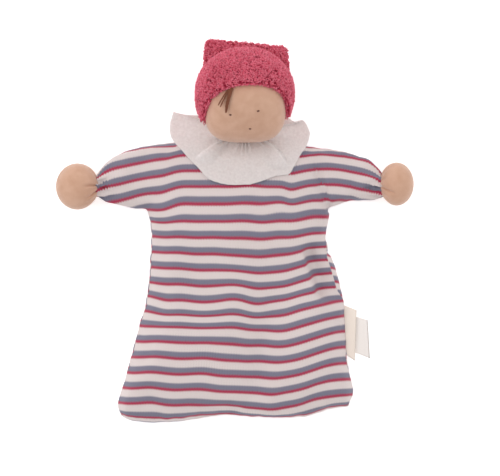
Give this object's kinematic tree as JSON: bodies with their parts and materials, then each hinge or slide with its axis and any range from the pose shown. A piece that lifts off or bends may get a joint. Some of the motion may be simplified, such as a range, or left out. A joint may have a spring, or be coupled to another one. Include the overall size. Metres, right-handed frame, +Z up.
{
  "type": "doll comforter",
  "caption": "Cloth doll comforter: flat striped jersey body with sleeves and ball hands, wool-stuffed head in a square-cornered terry hat, gathered white collar and side labels.",
  "frame": {"origin": "on the table under the middle of the flat back of the body", "axes": "+X to the right of someone looking down at the face, +Y towards the hat, +Z up from the table"},
  "size_m": [0.2406, 0.2473, 0.0652],
  "materials": {
    "striped_jersey": "fine rib jersey, white with blue-grey and raspberry stripes",
    "skin_jersey": "smooth brushed cotton jersey, warm beige",
    "wool_filling": "loose carded wool",
    "pink_terry": "looped cotton terry, raspberry pink",
    "white_terry": "short-pile white terry",
    "sewing_thread": "strong twisted cotton thread",
    "dark_thread": "dark brown embroidery thread",
    "brown_yarn": "brown mohair yarn",
    "cream_tape": "woven cream cotton tape, bare",
    "white_tape": "woven white tape, bare"
  },
  "bodies": {
    "torso": {"body_front": "striped_jersey", "body_back": "striped_jersey", "body_wool": "wool_filling", "collar": "white_terry"},
    "arm_left": {"sleeve_left": "striped_jersey", "arm_wool_left": "wool_filling"},
    "arm_right": {"sleeve_right": "striped_jersey", "arm_wool_right": "wool_filling"},
    "hand_left": {"hand_skin_left": "skin_jersey", "hand_wool_left": "wool_filling", "wrist_thread_left": "sewing_thread"},
    "hand_right": {"hand_skin_right": "skin_jersey", "hand_wool_right": "wool_filling", "wrist_thread_right": "sewing_thread"},
    "neck": {"neck_tube": "skin_jersey", "neck_thread": "sewing_thread"},
    "head": {"head_skin": "skin_jersey", "head_wool": "wool_filling", "hat_front": "pink_terry", "hat_back": "pink_terry", "eye_left": "dark_thread", "eye_right": "dark_thread", "mouth": "dark_thread", "hair_strand_1": "brown_yarn", "hair_strand_2": "brown_yarn", "hair_strand_3": "brown_yarn", "hair_strand_4": "brown_yarn"},
    "labels": {"side_label": "cream_tape", "care_label": "white_tape"}
  },
  "joints": [
    {"name": "head_nod", "type": "hinge", "parent": "torso", "child": "neck", "pos_m": [0.0032, 0.06308, 0.01063], "axis": [1, 0, 0], "range_deg": [-10, 25]},
    {"name": "head_turn", "type": "hinge", "parent": "neck", "child": "head", "pos_m": [0.0032, 0.06308, 0.01063], "axis": [0, 0.7431, 0.6691], "range_deg": [-45, 45]},
    {"name": "shoulder_left", "type": "hinge", "parent": "torso", "child": "arm_left", "pos_m": [-0.047, 0.0365, 0.005], "axis": [0, 0, 1], "range_deg": [-30, 25]},
    {"name": "shoulder_right", "type": "hinge", "parent": "torso", "child": "arm_right", "pos_m": [0.047, 0.0365, 0.005], "axis": [0, 0, 1], "range_deg": [-25, 30]},
    {"name": "wrist_left", "type": "hinge", "parent": "arm_left", "child": "hand_left", "pos_m": [-0.093, 0.0295, 0.0138], "axis": [0, 0, 1], "range_deg": [-20, 20]},
    {"name": "wrist_right", "type": "hinge", "parent": "arm_right", "child": "hand_right", "pos_m": [0.093, 0.0295, 0.0138], "axis": [0, 0, 1], "range_deg": [-20, 20]},
    {"name": "label_flap", "type": "hinge", "parent": "torso", "child": "labels", "pos_m": [0.06613, -0.046, 0.005], "axis": [0.1315, -0.9913, 0], "range_deg": [-5, 75]}
  ]
}
